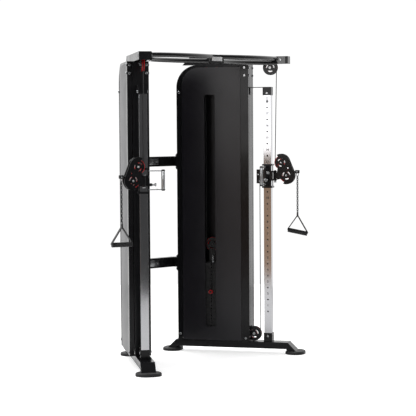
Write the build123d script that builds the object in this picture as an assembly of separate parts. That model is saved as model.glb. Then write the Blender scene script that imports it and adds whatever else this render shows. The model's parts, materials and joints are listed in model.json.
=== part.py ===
from build123d import *
import math
import os

# A dual-stack functional trainer. Sizes are in millimetres.
# Each tower is drawn in its own frame: u runs forward along the tower, w runs outward, z runs up,
# and u = w = 0 is the centre of the slide column. The left tower is the right one mirrored.

# Driving dimensions: whole machine
HEIGHT = 2150.0
TOWER_ANGLE = 32.8  # how far each tower opens outward from straight ahead, degrees
TOWER_X = 589.0  # centre of each slide column, from the middle of the machine
STEEL = 3.0  # wall of the frame tubes

# Base and feet
BASE_WIDE = 100.0
BASE_LOW, BASE_TOP = 36.0, 84.0
FOOT_TALL = 22.0
FRONT_FOOT, REAR_FOOT = 197.0, -728.0

# Tower body
BODY_REAR, BODY_FRONT = -670.0, -130.0
BODY_IN, BODY_OUT = -61.0, 88.0
POST_DEEP = 60.0  # front upright, along u
REAR_DEEP = 36.0  # rear upright, along u
TOP_DEEP = 16.0  # its band under the beam, along z
WINDOW_R = 134.0  # corner of the opening that the shrouds fill
POST_IN, POST_OUT = -26.0, 52.0  # centre tube of the front upright, along w
CORNER_R = 160.0
SHEET = 2.0
SLOT_WIDE, SLOT_LOW, SLOT_HIGH = 78.0, 187.0, 1880.0

# Top beam
BEAM_TALL, BEAM_WIDE = 54.0, 81.0
BEAM_FRONT = 157.0
BEAM_LOW = HEIGHT - BEAM_TALL

# Slide column
COLUMN = 55.0
COLUMN_TOP = 1927.0
HOLE_R, HOLE_FIRST, HOLE_PITCH, HOLE_COUNT = 5.5, 305.0, 87.0, 18

# Pulleys and cable
PULLEY_R, PULLEY_WIDE, CABLE_AT, CABLE_R = 49.5, 18.0, 45.0, 2.5
AXLE_R = 6.0
GUARD_R, GUARD_IN, GUARD_THICK = 53.0, 11.0, 3.0
TOP_PULLEY = (20.0, 2070.0)
BASE_PULLEY = (-107.0, 139.0)
REAR_IDLER = (-420.0, 2070.0)
MID_IDLER = (-330.0, 1990.0)
FRONT_IDLER = (-197.0, 1990.0)
STACK_PULLEY = (-420.0, 790.0)

# Weight stack
STACK_U, STACK_LONG, STACK_WIDE = -420.0, 280.0, 88.0
PLATE_TALL, PLATE_COUNT, STACK_LOW = 25.0, 20, 155.0
PINNED = 11  # plates below the selected one
ROD_SPACING, ROD_R, ROD_TOP = 220.0, 9.5, 1915.0
STEM_R, PIN_R, KNOB_R = 11.0, 4.7, 15.0
LANYARD_U, LANYARD_W, LANYARD_TOP, LANYARD_R = -402.0, -62.0, 660.0, 4.5

# Carriage and arm
CARRIAGE_LOW, CARRIAGE_HIGH = 1203.0, 1376.0
PIN_Z = HOLE_FIRST + 11 * HOLE_PITCH
AXIS_U = 52.0  # swivel axis in front of the column's centre
ARM_UPPER = (46.0, 1386.0)  # forward of the swivel axis, height
ARM_LOWER = (84.0, 1293.0)
ARM_R, ARM_REAR_R, ARM_THICK = 62.0, 46.0, 3.0
YOKE_AT, YOKE_LOW, YOKE_TOP = 16.0, 1270.0, 1312.0  # the arm's hinge yoke, forward of the swivel axis
LEFT_ARM_TURN = 75.0  # the left arm stands swung outward, degrees
STOPPER_Z, STOPPER_AT, STOPPER_LONG, STOPPER_R = 1320.0, 148.0, 32.0, 16.0
HANG_AT, HOOK_LOW = 164.0, 1261.0  # the line that the handle hangs on, and the foot of its snap hook
APEX_ABOVE, GRIP_LONG, GRIP_R = 138.0, 142.0, 16.5
RIGHT_GRIP, LEFT_GRIP = (886.0, 11.0), (869.0, 0.0)  # height, and tilt nose down in degrees
CHAIN_R, STRAP_WIDE = 6.5, 30.0
ANCHOR_Z = 1236.0

# Bars between the towers
CROSSBAR_HEIGHTS = (653.0, 1396.0)
CROSSBAR_TALL, CROSSBAR_DEEP, STUB_LONG = 72.0, 40.0, 60.0
FLANGE_THICK, FLANGE_OUT, FLANGE_TALL = 8.0, 63.0, 112.0
BAR_R, BAR_BOW, BAR_U, BAR_BOLT_U = 16.0, 45.0, 72.0, 106.0

STACK_TOP = STACK_LOW + PLATE_COUNT * PLATE_TALL
KNOB_Z = STACK_LOW + (PINNED + 0.5) * PLATE_TALL
parts = {}


def slab(u0, u1, w0, w1, z0, z1):
    """A box between two corners."""
    return Pos((u0 + u1) / 2, (w0 + w1) / 2, (z0 + z1) / 2) * Box(u1 - u0, w1 - w0, z1 - z0)


def hollow(u0, u1, w0, w1, z0, z1, wall, open_axis):
    """A box tube, open along one axis."""
    grow = [-wall, -wall, -wall]
    grow["uwz".index(open_axis)] = wall
    inside = slab(u0 - grow[0], u1 + grow[0], w0 - grow[1], w1 + grow[1], z0 - grow[2], z1 + grow[2])
    return slab(u0, u1, w0, w1, z0, z1) - inside


def across(u, z, radius, w0, w1):
    """A round bar along w."""
    return Pos(u, (w0 + w1) / 2, z) * Rot(90, 0, 0) * Cylinder(radius, w1 - w0)


def along(w, z, radius, u0, u1):
    """A round bar along u."""
    return Pos((u0 + u1) / 2, w, z) * Rot(0, 90, 0) * Cylinder(radius, u1 - u0)


def upright_bar(u, w, radius, z0, z1):
    """A round bar along z."""
    return Pos(u, w, (z0 + z1) / 2) * Cylinder(radius, z1 - z0)


def side_plate(outline, w0, w1):
    """A flat outline drawn in (u, z), given a thickness from w0 to w1."""
    return Pos(0, w1, 0) * Rot(90, 0, 0) * extrude(outline, w1 - w0)


def outline(*points):
    return make_face(Polyline(*points, close=True))


def kidneys(centre, ring, wide, turn=90.0, sweep=62.0):
    """Three curved windows round an axle, as flat shapes."""
    shapes = []
    for k in range(3):
        arc = CenterArc(centre, ring, turn + 120 * k - sweep / 2, sweep)
        shapes.append(SlotArc(arc, wide))
    return shapes


def tower(name, *shapes):
    """Places a piece of both towers as two nodes, NAME_r and NAME_l."""
    parts[name + "_r"] = [to_right(shape) for shape in shapes]
    parts[name + "_l"] = [to_left(shape) for shape in shapes]


def to_right(shape):
    return Pos(TOWER_X, 0, 0) * Rot(0, 0, TOWER_ANGLE - 90) * shape


def to_left(shape):
    return mirror(to_right(shape), Plane.YZ)


def both(name, *shapes):
    """Puts one piece of each tower into a shared node."""
    node = parts.setdefault(name, [])
    for shape in shapes:
        node.append(to_right(shape))
        node.append(to_left(shape))


# Fasteners: each is a head on the surface and a shank in a hole

SHANK_R, HEAD_R, HEAD_TALL, SHANK_LONG = 4.9, 9.0, 6.0, 12.0


def bolt(place):
    """A round-headed bolt whose shank points along the place's -Z."""
    head = Pos(0, 0, HEAD_TALL / 2) * Cylinder(HEAD_R, HEAD_TALL)
    head = chamfer(head.edges().group_by(Axis.Z)[-1], 2)
    return place * (head + Pos(0, 0, -SHANK_LONG / 2) * Cylinder(SHANK_R, SHANK_LONG))


def bolt_hole(place):
    return place * Cylinder(SHANK_R + 0.1, 2 * SHANK_LONG + 2)


def facing_in(u, w, z):
    return Pos(u, w, z) * Rot(90, 0, 0)


def facing_out(u, w, z):
    return Pos(u, w, z) * Rot(-90, 0, 0)


def facing_front(u, w, z):
    return Pos(u, w, z) * Rot(0, 90, 0)


def facing_rear(u, w, z):
    return Pos(u, w, z) * Rot(0, -90, 0)


UPRIGHT_BOLTS = [facing_in(-158, BODY_IN, z) for z in (108.0, 2016.0, 2072.0)]
UPRIGHT_BOLTS += [facing_out(-158, BODY_OUT, z) for z in (108.0, 2016.0, 2072.0)]
UPRIGHT_BOLTS += [facing_front(BODY_FRONT, w, z) for w in (-45.0, 71.0) for z in (2016.0, 2072.0)]
REAR_BOLTS = [facing_in(-651, BODY_IN, z) for z in (130.0, 1900.0)]
REAR_BOLTS += [facing_out(-651, BODY_OUT, z) for z in (130.0, 1900.0)]
FLANGE_BOLTS = [
    facing_rear(BODY_REAR - FLANGE_THICK, w, middle + up)
    for middle in CROSSBAR_HEIGHTS
    for w in (-45.0, 47.0)
    for up in (-44.0, 44.0)
]


def drilled(piece, places):
    for place in places:
        piece = piece - bolt_hole(place)
    return piece


# Base beam with its sloped ends, and the rubber feet


def base_beam():
    """A box tube whose ends slope down to a foot plate."""
    slope = outline(
        (REAR_FOOT - 26, FOOT_TALL),
        (REAR_FOOT + 36, BASE_TOP),
        (FRONT_FOOT - 48, BASE_TOP),
        (FRONT_FOOT + 14, FOOT_TALL),
        (FRONT_FOOT - 46, FOOT_TALL),
        (FRONT_FOOT - 60, BASE_LOW),
        (REAR_FOOT + 48, BASE_LOW),
        (REAR_FOOT + 34, FOOT_TALL),
    )
    beam = side_plate(slope, -BASE_WIDE / 2, BASE_WIDE / 2)
    core = slab(REAR_FOOT + 50, FRONT_FOOT - 62, STEEL - BASE_WIDE / 2, BASE_WIDE / 2 - STEEL,
                BASE_LOW + STEEL, BASE_TOP - STEEL)
    return beam - core


def foot(u):
    """An oval rubber foot with a rounded rim."""
    pad = extrude(Pos(u, 0) * SlotOverall(176, 140, rotation=90), FOOT_TALL)
    return chamfer(pad.edges().group_by(Axis.Z)[-1], 5)


# Uprights and shrouds


def front_upright():
    """A box tube between two side channels, webbed together."""
    rear = BODY_FRONT - POST_DEEP
    whole = hollow(rear, BODY_FRONT, POST_IN, POST_OUT, BASE_TOP, BEAM_LOW, STEEL, "z")
    for w0, w1 in ((BODY_IN, BODY_IN + STEEL), (BODY_OUT - STEEL, BODY_OUT)):
        whole = whole + slab(rear, BODY_FRONT, w0, w1, BASE_TOP, BEAM_LOW)
    for w0, w1 in ((BODY_IN, POST_IN - 4), (POST_OUT + 4, BODY_OUT)):
        whole = whole + slab(BODY_FRONT - STEEL, BODY_FRONT, w0, w1, BASE_TOP, BEAM_LOW)
    core = slab(rear + STEEL, BODY_FRONT - STEEL, POST_IN + STEEL, POST_OUT - STEEL, 0, HEIGHT)
    for z in (BASE_TOP, 720.0, 1440.0, BEAM_LOW - STEEL):
        whole = whole + (slab(rear, BODY_FRONT, BODY_IN, BODY_OUT, z, z + STEEL) - core)
    base_slot = slab(BODY_FRONT - 45, BODY_FRONT + 1, -18, 18, BASE_TOP + 4, 196)
    idler_slot = slab(rear - 1, rear + 50, -22, 22, 1935, BEAM_LOW + 1)
    return drilled(whole - base_slot - idler_slot, UPRIGHT_BOLTS)


def tower_side(rear, front, low, high, radius):
    """The tower body from the side, with its rounded rear corner, drawn in (u, z)."""
    bend = math.sqrt(0.5) * radius
    edges = [
        Line((front, low), (front, high)),
        Line((front, high), (rear + radius, high)),
        ThreePointArc(
            (rear + radius, high), (rear + radius - bend, high - radius + bend), (rear, high - radius)
        ),
        Line((rear, high - radius), (rear, low)),
        Line((rear, low), (front, low)),
    ]
    return make_face(edges)


def rear_upright():
    """A channel up the back of the tower that bends over its top, under the beam."""
    front, low = BODY_FRONT - POST_DEEP, BASE_TOP
    block = side_plate(tower_side(BODY_REAR, front, low, BEAM_LOW, CORNER_R), BODY_IN, BODY_OUT)
    inside = tower_side(BODY_REAR + STEEL, front, low, BEAM_LOW - STEEL, CORNER_R - STEEL)
    window = tower_side(BODY_REAR + REAR_DEEP, front, low, BEAM_LOW - TOP_DEEP, WINDOW_R)
    block = block - side_plate(inside, BODY_IN + STEEL, BODY_OUT - STEEL)
    block = block - side_plate(window, BODY_IN - 1, BODY_OUT + 1)
    pulley_way = slab(REAR_IDLER[0] - 70, front + 1, -24, 24, BEAM_LOW - STEEL - 1, BEAM_LOW + 1)
    return drilled(block - pulley_way, REAR_BOLTS + FLANGE_BOLTS)


def shroud(side):
    """A folded sheet cover with a bowed face and a rounded corner; side is -1 inside, 1 outside."""
    gap, bow, lip = 1.5, 6.0, 14.0
    rear, front = BODY_REAR + REAR_DEEP + gap, BODY_FRONT - POST_DEEP - gap
    low, high = BASE_TOP + 4, BEAM_LOW - TOP_DEEP - gap
    corner = WINDOW_R - gap
    crest = (BODY_IN if side < 0 else BODY_OUT) + side * (bow - 2)
    reach = (front - rear) / 2
    radius = (reach * reach + bow * bow) / (2 * bow)
    drum = Pos((rear + front) / 2, crest - side * radius, HEIGHT / 2)
    ends = sorted((crest - side * (bow + lip), crest + side * 5))
    panel = side_plate(tower_side(rear, front, low, high, corner), *ends)
    inner = tower_side(rear + SHEET, front - SHEET, low + SHEET, high - SHEET, corner - SHEET)
    shell = panel & (drum * Cylinder(radius, 2 * HEIGHT))
    shell = shell - (side_plate(inner, *ends) & (drum * Cylinder(radius - SHEET, 2 * HEIGHT)))
    if side < 0:
        slot = extrude(RectangleRounded(SLOT_WIDE, SLOT_HIGH - SLOT_LOW, 18), 20, both=True)
        shell = shell - Pos(STACK_U, BODY_IN, (SLOT_LOW + SLOT_HIGH) / 2) * Rot(90, 0, 0) * slot
    return shell


def top_beam():
    """A box tube with a chamfered rear end, slots for two pulleys and a capped front."""
    half = BEAM_WIDE / 2
    side = outline(
        (BODY_REAR + 40, BEAM_LOW), (BEAM_FRONT, BEAM_LOW), (BEAM_FRONT, HEIGHT), (BODY_REAR + 94, HEIGHT)
    )
    beam = side_plate(side, -half, half)
    core = slab(BODY_REAR + 100, BEAM_FRONT - STEEL, STEEL - half, half - STEEL, BEAM_LOW + STEEL, HEIGHT - STEEL)
    beam = beam - core
    for u, _ in (TOP_PULLEY, REAR_IDLER):
        beam = beam - slab(u - 62, u + 62, -17, 17, BEAM_LOW - 1, BEAM_LOW + STEEL + 1)
    for u in (108.0, 132.0):
        beam = beam - Pos(u, half, HEIGHT - 27) * Rot(90, 0, 0) * extrude(SlotOverall(22, 9, rotation=90), 8, both=True)
    return drilled(beam, BAR_BOLTS)


# Slide column, its clamps and the brackets of the fixed pulleys


def column():
    post = hollow(-COLUMN / 2, COLUMN / 2, -COLUMN / 2, COLUMN / 2, BASE_TOP, COLUMN_TOP, 2.5, "z")
    post = fillet(post.edges().filter_by(Axis.Z), 1)
    for k in range(HOLE_COUNT):
        post = post - across(0, HOLE_FIRST + k * HOLE_PITCH, HOLE_R, -COLUMN / 2 - 1, 0)
    slit = Pos(0, -COLUMN / 2, 1838) * Rot(90, 0, 0) * extrude(SlotOverall(50, 5, rotation=90), 4, both=True)
    return drilled(post - slit, CLAMP_BOLTS)


CLAMP_THICK = 4.0
CLAMP_FACE = COLUMN / 2 + CLAMP_THICK
CLAMP_HEIGHTS = (BASE_TOP, 147.0), (1872.0, COLUMN_TOP)
CLAMP_BOLTS = [facing_in(0, -CLAMP_FACE, z) for z in (124.0, 1887.0)]
CLAMP_BOLTS += [facing_out(0, CLAMP_FACE, z) for z in (124.0, 1887.0)]
BAR_BOLTS = [facing_in(BAR_BOLT_U, -BEAM_WIDE / 2 - 8, 2123.0)]
FIXED_PULLEYS = (TOP_PULLEY, BASE_PULLEY, REAR_IDLER, MID_IDLER, FRONT_IDLER)


def clamp(low, high):
    grip = slab(-CLAMP_FACE, CLAMP_FACE, -CLAMP_FACE, CLAMP_FACE, low, high)
    inside = slab(-COLUMN / 2, COLUMN / 2, -COLUMN / 2, COLUMN / 2, low - 1, high + 1)
    return drilled(grip - inside, CLAMP_BOLTS)


def head_plate():
    """The plate that ties the column's top back to the front upright."""
    plate = slab(BODY_FRONT, CLAMP_FACE, -CLAMP_FACE, CLAMP_FACE, COLUMN_TOP, COLUMN_TOP + 5)
    tab = slab(BODY_FRONT, BODY_FRONT + 6, -22, 22, COLUMN_TOP - 50, COLUMN_TOP)
    cable_way = slab(-75, -48, -10, 10, COLUMN_TOP - 1, COLUMN_TOP + 6)
    return plate + tab - cable_way


def guards(centre, top, cover_top):
    """Two plates that carry a fixed pulley, round at its rim, with three windows."""
    u, z = centre
    made = []
    shape = Pos(u, z) * Circle(GUARD_R)
    if cover_top:
        shape = shape & outline((u - 60, z - 60), (u + 60, z - 60), (u + 60, top), (u - 60, top))
    shape = shape - Pos(u, z) * Circle(AXLE_R + 0.1)
    for window in kidneys((u, z), 27, 10, turn=-90, sweep=52):
        shape = shape - window
    for w in (-GUARD_IN - GUARD_THICK, GUARD_IN):
        made.append(side_plate(shape, w, w + GUARD_THICK))
    return made


def axle(centre):
    """An axle bolt through a pulley and its two plates."""
    u, z = centre
    out = GUARD_IN + GUARD_THICK
    rod = across(u, z, AXLE_R, -out - 1, out + 1)
    return rod + across(u, z, 9.5, -out - 7, -out) + across(u, z, 9.5, out, out + 7)


def idler_plates():
    """Plates under the beam that carry the three hidden idlers."""
    made = []
    rear_u, rear_z = REAR_IDLER
    mid_u, mid_z = MID_IDLER
    front_u, _ = FRONT_IDLER
    for w in (-GUARD_IN - GUARD_THICK, GUARD_IN):
        hanger = outline((rear_u - 25, BEAM_LOW), (rear_u + 25, BEAM_LOW), (rear_u + 25, rear_z - 25),
                         (rear_u - 25, rear_z - 25))
        pair = outline((mid_u - 20, mid_z - 25), (front_u + 20, mid_z - 25), (front_u + 20, BEAM_LOW),
                       (mid_u - 20, BEAM_LOW))
        for centre in (REAR_IDLER, MID_IDLER, FRONT_IDLER):
            hole = Pos(*centre) * Circle(AXLE_R + 0.1)
            hanger, pair = hanger - hole, pair - hole
        made += [side_plate(hanger, w, w + GUARD_THICK), side_plate(pair, w, w + GUARD_THICK)]
    return made


def base_ears():
    """Short arms that hold the base pulley's plates on the front upright."""
    made = []
    for w0, w1 in ((-17, -14), (14, 17)):
        u, z = BASE_PULLEY
        ear = slab(BODY_FRONT, u + 14, w0, w1, z - 20, z + 20) - across(u, z, 9.6, w0 - 1, w1 + 1)
        made.append(ear)
    return made


def rod_retainer():
    """The strip that holds the tops of the guide rods."""
    strip = slab(BODY_REAR + STEEL, BODY_FRONT - POST_DEEP, -40, 40, ROD_TOP, ROD_TOP + 5)
    for side in (-1, 1):
        tangent = STACK_U + side * CABLE_AT
        strip = strip - slab(tangent - 12, tangent + 12, -12, 12, ROD_TOP - 1, ROD_TOP + 6)
    return strip


# Cables that the frame holds


def cable(*points):
    """A cable along straight runs that turn round pulleys, drawn in (u, z)."""
    corners = [(u, 0, z) for u, z in points]
    path = FilletPolyline(*corners, radius=CABLE_AT - 0.01) if len(corners) > 2 else Line(*corners)
    return sweep(Plane(origin=path @ 0, z_dir=path % 0) * Circle(CABLE_R), path)


def frame_cable_low():
    """From the base pulley up inside the front upright and over the first two idlers."""
    (base_u, base_z), (mid_u, mid_z) = BASE_PULLEY, MID_IDLER
    top = FRONT_IDLER[1] + CABLE_AT
    return cable(
        (base_u + CABLE_AT, base_z),
        (base_u + CABLE_AT, base_z - CABLE_AT),
        (base_u - CABLE_AT, base_z - CABLE_AT),
        (base_u - CABLE_AT, top),
        (mid_u - CABLE_AT, top),
        (mid_u - CABLE_AT, mid_z),
    )


def frame_cable_high():
    """From the stack over the rear idler, through the beam and over the top pulley."""
    (rear_u, rear_z), (top_u, top_z) = REAR_IDLER, TOP_PULLEY
    return cable(
        (rear_u - CABLE_AT, MID_IDLER[1]),
        (rear_u - CABLE_AT, rear_z + CABLE_AT),
        (top_u + CABLE_AT, rear_z + CABLE_AT),
        (top_u + CABLE_AT, top_z),
    )


def stack_cable():
    """Down to the stack's pulley, half round it and up again."""
    u, z = STACK_PULLEY
    top = MID_IDLER[1]
    return cable(
        (u + CABLE_AT, top), (u + CABLE_AT, z - CABLE_AT), (u - CABLE_AT, z - CABLE_AT), (u - CABLE_AT, top)
    )


def front_cable():
    """From the top pulley down to the arm's upper pulley, on the swivel axis."""
    return cable((TOP_PULLEY[0] + CABLE_AT, TOP_PULLEY[1] - 0.5), (AXIS_U, ARM_UPPER[1] + 0.5))


def rear_cable():
    """From the carriage's anchor down to the base pulley."""
    at = BASE_PULLEY[0] + CABLE_AT
    return cable((at, ANCHOR_Z), (at, BASE_PULLEY[1]))


# Weight stack


def stack_plate(low):
    """One cast plate, bored for the guide rods, the stem and the selector pin."""
    half, wide = STACK_LONG / 2, STACK_WIDE / 2
    plate = slab(STACK_U - half, STACK_U + half, -wide, wide, low + 0.4, low + PLATE_TALL - 0.4)
    plate = chamfer(plate.edges().filter_by(Axis.Z), 6)
    for at, radius in ((-ROD_SPACING / 2, ROD_R + 1), (ROD_SPACING / 2, ROD_R + 1), (0, STEM_R + 0.6)):
        plate = plate - upright_bar(STACK_U + at, 0, radius, low - 1, low + PLATE_TALL + 1)
    return plate - across(STACK_U, low + PLATE_TALL / 2, PIN_R + 0.3, -wide - 1, STEM_R + 2)


def stack_stem():
    """The drilled rod that hangs from the top plate, with the yoke of the stack's pulley above it."""
    u, z = STACK_PULLEY
    seat = STACK_TOP - 0.4
    stem = upright_bar(u, 0, STEM_R, STACK_LOW + 4, seat + 1)
    for i in range(PLATE_COUNT):
        stem = stem - across(u, STACK_LOW + (i + 0.5) * PLATE_TALL, PIN_R + 0.3, -STEM_R - 1, STEM_R + 1)
    stem = stem + slab(u - 30, u + 30, -30, 30, seat, seat + 6) + axle(STACK_PULLEY)
    ear = outline((u - 22, seat + 5), (u + 22, seat + 5), (u + 22, z), (u - 22, z)) + Pos(u, z) * Circle(46)
    ear = ear - Pos(u, z) * Circle(AXLE_R - 0.5)
    for window in kidneys(STACK_PULLEY, 28, 9, turn=-90, sweep=50):
        ear = ear - window
    for w in (-GUARD_IN - GUARD_THICK, GUARD_IN):
        stem = stem + side_plate(ear, w, w + GUARD_THICK)
    return stem


def lanyard_hook():
    """A bar out of the yoke with a clip that hangs from it."""
    bar = across(LANYARD_U, LANYARD_TOP + 44, 3, LANYARD_W - 1, -GUARD_IN - 1)
    return bar + upright_bar(LANYARD_U, LANYARD_W, 3.5, LANYARD_TOP + 0.5, LANYARD_TOP + 50)


def lifted_stack():
    """What rises with the selected plate, as separate solids."""
    plates = [stack_plate(STACK_LOW + i * PLATE_TALL) for i in range(PINNED, PLATE_COUNT)]
    return plates + [stack_stem() + lanyard_hook()]


def selector_pin():
    """A round knob on a rod that goes into the chosen plate."""
    face = -STACK_WIDE / 2
    rod = across(STACK_U, KNOB_Z, PIN_R, face - 8, STEM_R + 1)
    knob = across(STACK_U, KNOB_Z, KNOB_R, face - 28, face - 8)
    knob = chamfer(knob.edges().filter_by(GeomType.CIRCLE), 3)
    return rod + knob


def lanyard():
    """The curly lanyard's outer shape, from the yoke's clip down to the pin's knob."""
    path = Line((LANYARD_U, LANYARD_W, LANYARD_TOP), (STACK_U + 2, LANYARD_W, KNOB_Z + KNOB_R + 1))
    return sweep(Plane(origin=path @ 0, z_dir=path % 0) * Circle(LANYARD_R), path)


def guide_rod(side):
    return upright_bar(STACK_U + side * ROD_SPACING / 2, 0, ROD_R, BASE_TOP, ROD_TOP)


def bumper(side):
    u = STACK_U + side * ROD_SPACING / 2
    return upright_bar(u, 0, 30, BASE_TOP, STACK_LOW) - upright_bar(u, 0, ROD_R + 0.2, BASE_TOP - 1, STACK_LOW + 1)


# Pulley wheels


def pulley(centre):
    """A grooved wheel with three windows, bored for its axle."""
    u, z = centre
    half, groove = PULLEY_WIDE / 2, 2.5
    section = outline(
        (AXLE_R + 0.06, -half), (PULLEY_R, -half), (PULLEY_R, -6), (CABLE_AT - 3, -groove),
        (CABLE_AT - 3, groove), (PULLEY_R, 6), (PULLEY_R, half), (AXLE_R + 0.06, half),
    )
    wheel = revolve(Rot(90, 0, 0) * section, Axis.Z)
    for window in kidneys((0, 0), 26, 10, turn=-90, sweep=54):
        wheel = wheel - extrude(window, half + 1, both=True)
    return Pos(u, 0, z) * Rot(90, 0, 0) * wheel


# Carriage on the column


def carriage():
    """Two collars, two cheek plates and the cable anchor."""
    inner, outer = COLUMN / 2 + 1, 37.0
    whole = None
    for low, high in ((CARRIAGE_LOW, CARRIAGE_LOW + 14), (CARRIAGE_HIGH - 12, CARRIAGE_HIGH)):
        ring = slab(-outer, outer, -outer, outer, low, high) - slab(-inner, inner, -inner, inner, low - 1, high + 1)
        whole = ring if whole is None else whole + ring
    for w0, w1 in ((-34.5, -inner), (inner, 34.5)):
        whole = whole + slab(-24, 30, w0, w1, CARRIAGE_LOW + 1, CARRIAGE_HIGH - 1)
    whole = whole + slab(-34, -20, inner, 34.5, 1235, 1336)
    anchor_plate = slab(-84, -inner, 6, 12, 1235, 1336)
    for z in (1262.0, 1300.0, 1320.0):
        anchor_plate = anchor_plate - across(-74, z, 5, 5, 13)
    anchor_plate = anchor_plate + (slab(-84, -inner, -12, -6, 1235, 1336) - across(-74, 1300, 5, -13, -5))
    whole = whole + anchor_plate
    whole = whole + slab(-34, -inner, -34.5, 34.5, 1235, 1336)
    whole = whole + across(-62, 1252, 5, -12, 12) + upright_bar(-62, 0, 5, ANCHOR_Z, 1254)
    knob = across(5, 1314, 11, -41, -33)
    return whole + knob - across(0, PIN_Z, 7.05, -35, -27)


def swivel_lugs():
    """A plate in front of the cheeks, with two lugs and the pin that the arm turns on."""
    cheek_front = 30.0
    whole = slab(cheek_front, cheek_front + 6, -34.5, 34.5, 1255, 1326)
    for low in (1255.0, 1314.0):
        lug = extrude(Pos(AXIS_U - 11, 0) * Rectangle(22, 20) + Pos(AXIS_U, 0) * Circle(12), 12)
        whole = whole + Pos(0, 0, low) * lug
    return whole + upright_bar(AXIS_U, 0, 5.5, 1246, 1330) + upright_bar(AXIS_U, 0, 9, 1242, 1250)


def grab_handle():
    """A round bar beside the carriage, on two rods."""
    whole = upright_bar(-18, -138, 12, 1224, 1359.5)
    for z in (1224.5 + 4, 1359.0 - 4):
        whole = whole + across(-18, z, 4, -146, -34.5)
    return whole


def pop_pin():
    """A sprung locking pin with a flared pull knob."""
    barrel = across(0, PIN_Z, 7, -36, -COLUMN / 2 - 0.5) + across(0, PIN_Z, 10, -60, -36)
    neck = Pos(0, -74, PIN_Z) * Rot(90, 0, 0) * Cone(6, 13, 28)
    return barrel + neck


# Swivelling arm, drawn at the swivel axis and pointing forward


def arc_points(centre, radius, start, stop, steps=12):
    """Points along an arc in (u, z), from one angle to another, in degrees."""
    angles = [math.radians(start + (stop - start) * k / steps) for k in range(steps + 1)]
    return [(centre[0] + radius * math.cos(a), centre[1] + radius * math.sin(a)) for a in angles]


def arm_shape():
    """One broad curve round the front of both pulleys, cut back to their rims at the rear."""
    rise = math.degrees(math.atan2(ARM_UPPER[1] - ARM_LOWER[1], ARM_UPPER[0] - ARM_LOWER[0])) - 90
    front = arc_points(ARM_LOWER, ARM_R, -110, rise, 24) + arc_points(ARM_UPPER, ARM_R, rise, 119, 18)
    rear = arc_points(ARM_UPPER, ARM_REAR_R, 119, 235)
    rear += [(YOKE_AT, YOKE_TOP + 4), (YOKE_AT, YOKE_LOW - 8)] + arc_points(ARM_LOWER, ARM_REAR_R, 215, 250, 6)
    shape = outline(*front, *rear)
    for centre, turn in ((ARM_UPPER, 0), (ARM_LOWER, 40)):
        shape = shape - Pos(*centre) * Circle(AXLE_R - 0.5)
        for window in kidneys(centre, 26, 10, turn=turn, sweep=54):
            shape = shape - window
    return shape - Pos(94, 1346) * Circle(7)


def arm():
    """Two bean-shaped plates joined by a hinge barrel, with the axles and the cable between them."""
    shape = arm_shape()
    whole = slab(0, YOKE_AT + 10, -GUARD_IN, GUARD_IN, YOKE_LOW, YOKE_TOP)
    whole = whole + upright_bar(0, 0, 12.5, YOKE_LOW - 2.5, YOKE_TOP + 1.5)
    whole = whole - upright_bar(0, 0, 5.56, YOKE_LOW - 10, YOKE_TOP + 10)
    for w in (-GUARD_IN - ARM_THICK, GUARD_IN):
        whole = whole + side_plate(shape, w, w + ARM_THICK)
    for centre in (ARM_UPPER, ARM_LOWER):
        u, z = centre
        whole = whole + across(u, z, AXLE_R, -16, 16) + across(u, z, 9.5, -21, -14) + across(u, z, 9.5, 14, 21)
    for u, z in ((88, 1424), (70, 1238), (118, 1352)):
        whole = whole + across(u, z, 5, -GUARD_IN - 1, GUARD_IN + 1)
    return whole


def arm_cable():
    """The stretch that winds under the upper pulley and over the lower one to the stopper."""
    (au, az), (bu, bz) = ARM_UPPER, ARM_LOWER
    reach, run = math.hypot(bu - au, bz - az), math.atan2(bz - az, bu - au)
    leave = run - math.acos(2 * CABLE_AT / reach)
    meet, over = leave + math.pi, math.radians(72)

    def rim(centre, angle):
        return (centre[0] + CABLE_AT * math.cos(angle), 0, centre[1] + CABLE_AT * math.sin(angle))

    first, second = (leave - math.pi) / 2, (meet + over) / 2
    start_u, _, start_z = rim(ARM_LOWER, over)
    run_out = STOPPER_AT - 1 - start_u
    last = (STOPPER_AT - 1, 0, start_z - run_out / math.tan(over))
    path = Wire(
        [
            ThreePointArc(rim(ARM_UPPER, -math.pi), rim(ARM_UPPER, first), rim(ARM_UPPER, leave)),
            Line(rim(ARM_UPPER, leave), rim(ARM_LOWER, meet)),
            ThreePointArc(rim(ARM_LOWER, meet), rim(ARM_LOWER, second), rim(ARM_LOWER, over)),
            Line(rim(ARM_LOWER, over), last),
        ]
    )
    return sweep(Plane(origin=path @ 0, z_dir=path % 0) * Circle(CABLE_R), path)


# What hangs on the cable's end


def cable_end():
    """A rubber stopper, slotted for the snap hook that hangs on its cross pin."""
    far = STOPPER_AT + STOPPER_LONG
    stopper = along(0, STOPPER_Z, STOPPER_R, STOPPER_AT, far)
    stopper = chamfer(stopper.edges().filter_by(GeomType.CIRCLE), 2)
    slot = slab(HANG_AT - 12, far + 1, -3.2, 3.2, STOPPER_Z - STOPPER_R - 1, STOPPER_Z + 12.6)
    return stopper - slot + across(HANG_AT, STOPPER_Z, 3, -STOPPER_R - 1, STOPPER_R + 1)


def carabiner():
    """A pear-shaped snap hook round the stopper's pin."""
    small, large = Pos(HANG_AT, STOPPER_Z) * Circle(8.5), Pos(HANG_AT, STOPPER_Z - 46) * Circle(13)
    small_hole = Pos(HANG_AT, STOPPER_Z) * Circle(4)
    large_hole = Pos(HANG_AT, STOPPER_Z - 46) * Circle(8.5)
    body = make_hull(small.edges() + large.edges()) - make_hull(small_hole.edges() + large_hole.edges())
    return side_plate(body, -2.2, 2.2)


def chain(grip_z):
    return upright_bar(HANG_AT, 0, CHAIN_R, grip_z + APEX_ABOVE, HOOK_LOW)


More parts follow.
